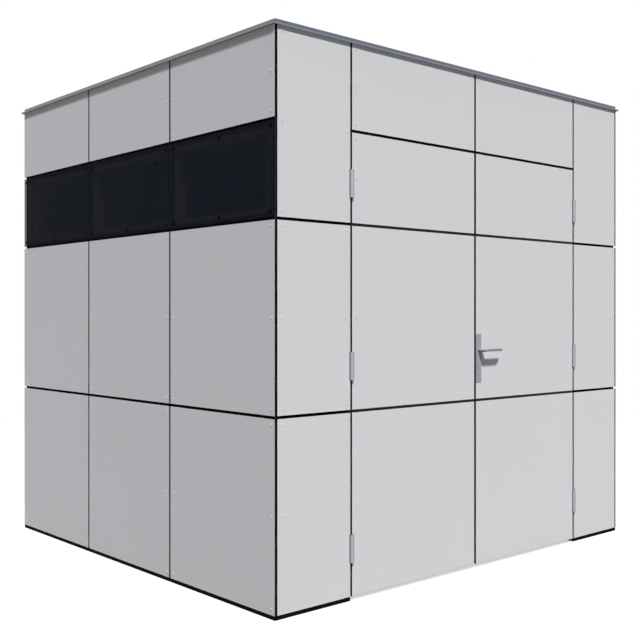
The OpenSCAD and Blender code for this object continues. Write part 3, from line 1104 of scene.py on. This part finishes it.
# %% Model the profile cylinder
lock_low, lock_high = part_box("lock_cylinder")
keyhole = (lock_low + lock_high) / 2
barrel_radius = (lock_high.x - lock_low.x) / 2
leg_half, leg_length, leg_proud = 0.005, 0.0165, 0.001
start, length = (keyhole.x, lock_low.y, keyhole.z), lock_high.y - lock_low.y
profile = rod(barrel_radius, start, length, round_steps, "lock_cylinder_made")
leg_foot = keyhole.z - barrel_radius - leg_length
for face in (plate_low.y, plate_high.y):
    leg = block(
        (keyhole.x - leg_half, face - leg_proud, leg_foot),
        (keyhole.x + leg_half, face + leg_proud, keyhole.z),
    )
    foot_edges = edges_along(leg, Y, lambda at: at.z < leg_foot + touch)
    round_edges(leg, foot_edges, 2 * leg_half * almost_half, steps=6)
    combine(profile, leg, "UNION")
ease(profile, width=0.0004)

# %% Cut the key slots
slot_half, slot_depth, slot_down, slot_up = 0.0011, 0.002, 0.005, 0.0045
for end in (lock_low.y, lock_high.y):
    slot = block(
        (keyhole.x - slot_half, end - slot_depth, keyhole.z - slot_down),
        (keyhole.x + slot_half, end + slot_depth, keyhole.z + slot_up),
    )
    combine(profile, slot, "DIFFERENCE")
assign(profile, "right_leaf", [lock_metal])
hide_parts("lock_cylinder")
print("the lock cylinder has", len(profile.data.polygons), "faces")

# %% Fix the inner plate with screws
turned = Matrix.Rotation(math.pi, 4, "Z")
screw_sunk, screw_inset = 0.0002, 0.012
places = [
    Matrix.Translation((spindle.x, plate_high.y - screw_sunk, z)) @ turned
    for z in (plate_low.z + screw_inset, plate_high.z - screw_inset)
]
heads = repeat(screw_head(radius=0.004, rise=0.0012), places, "plate_screws")
assign(heads, "right_leaf", [lever_metal])

# %% [markdown]
# ## Lock face and strike plate
# The lock shows a narrow plate with round ends in the edge of the right leaf, and the left leaf
# has its counterpart. Both start as a block of the solid's size whose corners are bevelled round.
# Two openings are cut for the latch and the bolt, and in the lock's own plate the latch and the
# bolt fill them, drawn back almost flush. Dark patches could stand for the openings, but real
# ones throw their own shadow.

# %% Places of latch and bolt
bolt_drop, latch_half, bolt_half, opening_half = 0.03, 0.016, 0.018, 0.006
tongue_play, tongue_back, edge_screw_inset = 0.0007, 0.0005, 0.014
gaps = ((spindle.z, latch_half), (keyhole.z - bolt_drop, bolt_half))
print("latch and bolt at", [round(z, 3) for z, half_high in gaps])


# %% Model a plate in the edge of a leaf
def edge_plate_made(name):
    """A plate with round ends and two openings, for the edge of a leaf."""
    low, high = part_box(name)
    middle = (low.y + high.y) / 2
    plate = block(low, high, name + "_made")
    round_edges(plate, edges_along(plate, X), (high.y - low.y) * almost_half, steps=8)
    for z, half_high in gaps:
        hole = block(
            (low.x - spare, middle - opening_half, z - half_high),
            (high.x + spare, middle + opening_half, z + half_high),
        )
        combine(plate, hole, "DIFFERENCE")
    ease(plate, width=0.0004, segments=1)
    assign(plate, body_of[name], [lock_metal])
    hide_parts(name)
    print(plate.name, "has", len(plate.data.polygons), "faces")


def edge_plate_screws(name, way):
    """Two screws in such a plate. way is the side along X that it faces."""
    low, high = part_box(name)
    facing = Matrix.Rotation(way * math.pi / 2, 4, "Z")
    side = high.x if way > 0 else low.x
    places = [
        Matrix.Translation((side, (low.y + high.y) / 2, z)) @ facing
        for z in (low.z + edge_screw_inset, high.z - edge_screw_inset)
    ]
    heads = repeat(screw_head(radius=0.0035, rise=0.0008), places, name + "_screws")
    assign(heads, body_of[name], [lock_metal])


for name, way in (("lock_face_plate", -1), ("strike_plate", 1)):
    edge_plate_made(name)
    edge_plate_screws(name, way)

# %% Fill the openings of the lock with latch and bolt
low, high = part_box("lock_face_plate")
middle = (low.y + high.y) / 2
half_wide = opening_half - tongue_play
tongues = []
for z, half_high in gaps:
    half_tall = half_high - tongue_play
    tongue = block(
        (low.x + tongue_back, middle - half_wide, z - half_tall),
        (high.x - tongue_back, middle + half_wide, z + half_tall),
    )
    ease(tongue, width=0.0005, segments=1)
    tongues.append(tongue)
assign(join(tongues, "latch_and_bolt"), "right_leaf", [plate_metal])
print("tongues:", len(tongues))

# %% [markdown]
# ## Roof seams
# The roofing sheet is welded from three widths, so two lapped seams run down the roof. A seam
# could be a line in the material's bump, but a real step keeps its shape from any side. Each one
# is a thin block whose corners are moved up to the slope of the sheet.

# %% Lay the seams
sheet_low, sheet_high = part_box("roof_membrane")
sheet = frame["nodes"]["roof_membrane"].data
top_front = max(v.co.z for v in sheet.vertices if v.co.y < sheet_low.y + touch)
top_back = max(v.co.z for v in sheet.vertices if v.co.y > sheet_high.y - touch)
slope = (top_back - top_front) / (sheet_high.y - sheet_low.y)
seam_half, seam_sunk, seam_rise, seam_inset, seam_end = 0.025, 0.001, 0.0015, 0.004, 1.1
seams = []
for across in (-0.38, 0.38):
    seam = block(
        (across - seam_half, sheet_low.y + seam_inset, -seam_sunk),
        (across + seam_half, seam_end, seam_rise),
    )
    ease(seam, width=0.0008, segments=1)
    for vertex in seam.data.vertices:
        vertex.co.z += top_front + slope * (vertex.co.y - sheet_low.y)
    seams.append(seam)
assign(join(seams, "roof_seams"), "shed", [roofing])
print("the roof falls", round(1000 * (top_front - top_back)), "mm to the back")

# %% [markdown]
# ### The turned-up edge
# The edge of the sheet is turned up along the beams to keep water in. It starts as a block with
# rounded corners that loses its top and bottom. The wall of four sides that is left gets its
# thickness from a solidify modifier, and an opening is cut in front of the outlet.

# %% Turn up the edge of the sheet
edge_play, edge_rise, edge_sunk, edge_corner = 0.0005, 0.024, 0.002, 0.012
upstand = block(
    (sheet_low.x + edge_play, sheet_low.y + edge_play, top_back - edge_sunk),
    (sheet_high.x - edge_play, sheet_high.y - edge_play, top_front + edge_rise),
    "roofing_upstand",
)
round_edges(upstand, edges_along(upstand, Z), edge_corner, steps=4)
edit(upstand, "FACE", lambda face: abs(face.normal.z) > aligned)
bpy.ops.mesh.delete(type="FACE")
leave()
apply(upstand, "SOLIDIFY", thickness=0.003, offset=-1.0)
outlet_low, outlet_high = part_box("roof_outlet")
opening = block(
    (outlet_low.x, sheet_high.y - 2 * spare, top_back - spare),
    (outlet_high.x, sheet_high.y + 2 * spare, outlet_high.z),
)
combine(upstand, opening, "DIFFERENCE")
assign(upstand, "shed", [roofing])
print("the opening for the outlet is", round(outlet_high.x - outlet_low.x, 3), "m wide")

# %% [markdown]
# ## Plain solids
# Tape, door stops, deck and roofing sheet could be eased too, but they are flat strips and sheets
# whose edges other pieces cover. They stay as they are and only get their materials.

# %% Finish the plain solids
for name, finish in {
    "joint_tape": tape,
    "door_stops": tape,
    "roof_deck": board,
    "roof_membrane": roofing,
}.items():
    solid = frame["nodes"][name]
    solid.data.materials.clear()
    solid.data.materials.append(finish)
    print(name, "is", finish.name)

# %% [markdown]
# ## Light
# The sun stands high in front of the shed on its left, so the front is brighter than the left
# wall and the coping throws a thin shadow on both. It is a few degrees wide: a shadow near its
# piece stays crisp, and the one on the floor turns soft. A weak steep lamp on the left stands for
# the open sky there, and a third one stands low behind the far corner for the right and back
# walls, which would be dull without it. The world adds a little light from all sides, and what
# the camera, a mirror or a pane sees of it is plain white. Large area lamps could do this too,
# but near a building their light falls off from one end of a wall to the other.


# %% Lamps
def sun_lamp(name, toward, strength, degrees_wide, colour):
    data = bpy.data.lights.new(name, "SUN")
    data.energy = strength
    data.angle = math.radians(degrees_wide)
    data.color = colour
    lamp = bpy.data.objects.new(name, data)
    lamp.rotation_euler = Vector(toward).to_track_quat("Z", "Y").to_euler()
    bpy.context.collection.objects.link(lamp)
    height = math.degrees(math.asin(Vector(toward).normalized().z))
    print("lamp:", name, "stands", round(height), "degrees high")


sun_lamp("sun", (-0.38, -0.806, 1.0), strength=3.4, degrees_wide=6.0, colour=(1.0, 0.995, 0.98))
sun_lamp(
    "left_sky", (-1.0, -0.15, 2.2), strength=0.52, degrees_wide=15.0, colour=(0.96, 0.98, 1.0)
)
sun_lamp("fill", (0.75, 0.8, 0.3), strength=1.7, degrees_wide=60.0, colour=(0.98, 0.99, 1.0))


# %% World
def seen_directly(tree):
    """1 for rays from the camera, a mirror or through glass, and 0 for rays that light things."""
    path = node(tree, "LightPath").outputs
    mirrored = calculate(tree, "MAXIMUM", path["Is Camera Ray"], path["Is Glossy Ray"])
    return calculate(tree, "MAXIMUM", mirrored, path["Is Transmission Ray"])


world = bpy.data.worlds.new("studio")
bpy.context.scene.world = world
world.use_nodes = True
sky = world.node_tree
sky.nodes.clear()
plain_white = {"Color": (1.0, 1.0, 1.0, 1.0), "Strength": 1.0}
ambient = node(sky, "Background", {"Color": (0.85, 0.93, 1.0, 1.0), "Strength": 0.1})
white = node(sky, "Background", plain_white)
mixed = node(sky, "MixShader", {0: seen_directly(sky), 1: ambient.outputs[0], 2: white.outputs[0]})
node(sky, "OutputWorld", {0: mixed.outputs[0]})
print("world:", world.name, "with", len(sky.nodes), "nodes")

# %% [markdown]
# ## Floor
# The floor is a wide pale plane. To the camera it is close to white and keeps the shed's shadow,
# and far out it turns to plain white, so no horizon shows. A curved backdrop could hide the
# horizon too, but only from one side. The light that the floor throws back on the walls is that
# of a darker floor, because a white one would wash out the shadow side.

# %% Floor
lighting_grey, seen_grey, lift = (0.3, 0.3, 0.3, 1.0), (0.45, 0.45, 0.45, 1.0), 0.62
floor_size, fade_start, fade_end = 60.0, 3.0, 7.0
bpy.ops.object.select_all(action="DESELECT")
bpy.ops.mesh.primitive_plane_add(size=floor_size, location=(0.0, 0.0, 0.0))
floor = bpy.context.object
floor.name = "floor"
finish = bpy.data.materials.new("pale floor")
finish.use_nodes = True
tree = finish.node_tree
tree.nodes.clear()
direct = seen_directly(tree)
place = node(tree, "TexCoord").outputs["Object"]
away = node(tree, "VectorMath", {0: place}, operation="LENGTH").outputs["Value"]
far = ramp(tree, away, fade_start, fade_end)
shown = blend_colours(tree, direct, lighting_grey, seen_grey)
matt = node(tree, "BsdfDiffuse", {"Color": shown})
glow = node(tree, "Emission", {"Color": (1.0, 1.0, 1.0, 1.0), "Strength": lift})
lifted = node(tree, "AddShader", {0: matt.outputs[0], 1: glow.outputs[0]})
near = node(tree, "MixShader", {0: direct, 1: matt.outputs[0], 2: lifted.outputs[0]})
plain = node(tree, "Emission", plain_white)
fade = calculate(tree, "MULTIPLY", far, direct)
whole = node(tree, "MixShader", {0: fade, 1: near.outputs[0], 2: plain.outputs[0]})
node(tree, "OutputMaterial", {0: whole.outputs[0]})
floor.data.materials.append(finish)
print("floor: fades to white from", fade_start, "to", fade_end, "m")
